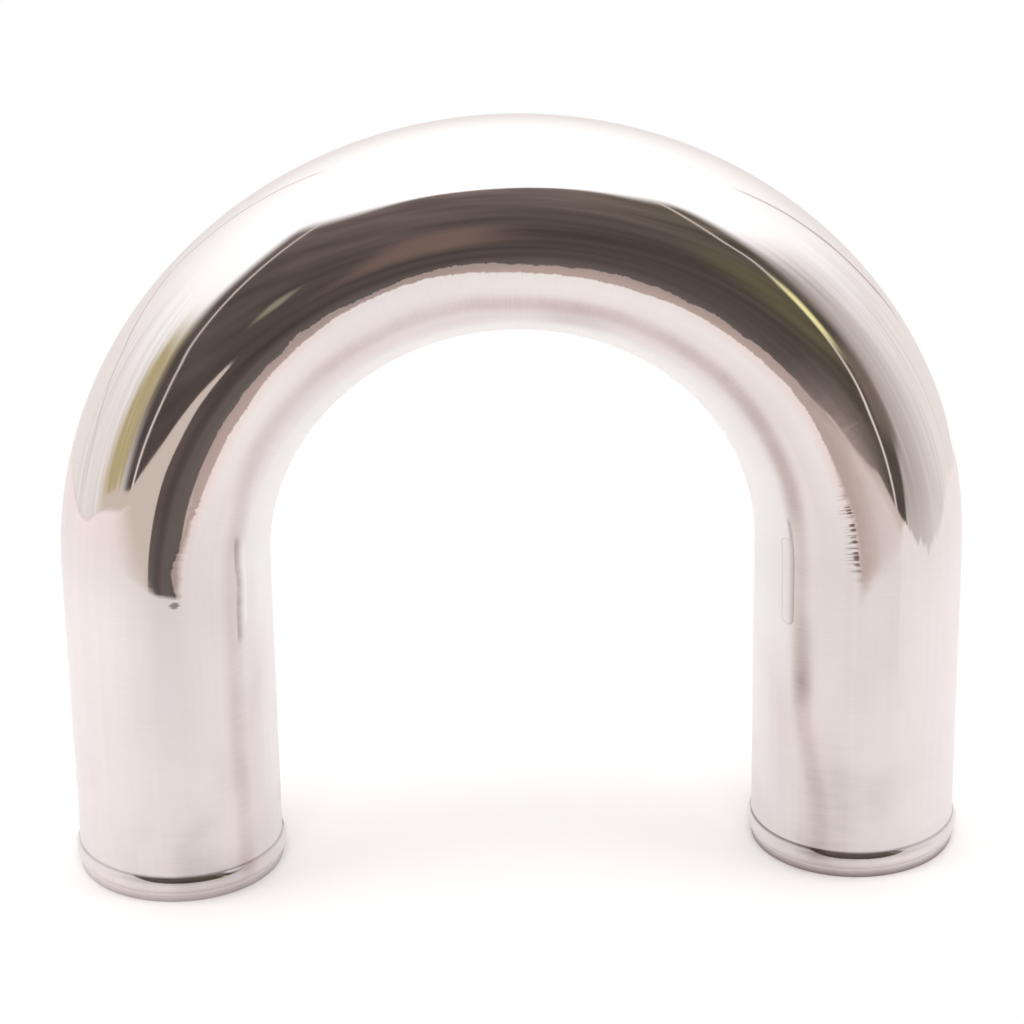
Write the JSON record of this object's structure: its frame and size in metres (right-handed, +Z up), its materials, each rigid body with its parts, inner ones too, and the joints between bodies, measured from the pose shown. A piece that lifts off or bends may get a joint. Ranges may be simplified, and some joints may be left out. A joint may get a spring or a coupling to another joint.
{
  "type": "return bend",
  "caption": "Polished aluminium tube bent through a half turn into a U, with a rolled hose bead near each open end; turns a pipe or duct run back on itself.",
  "frame": {"origin": "on the floor plane, midway between the centres of the two open ends", "axes": "+X from one leg to the other, +Y through the thickness of the U, +Z up from the open ends to the top of the bend"},
  "size_m": [0.3332, 0.0792, 0.286],
  "materials": {
    "aluminium": "mirror polished on the bend, satin brushed on the legs, the beads and the inside of the bend"
  },
  "bodies": {
    "root": {"bent_tube": "aluminium"}
  },
  "joints": []
}
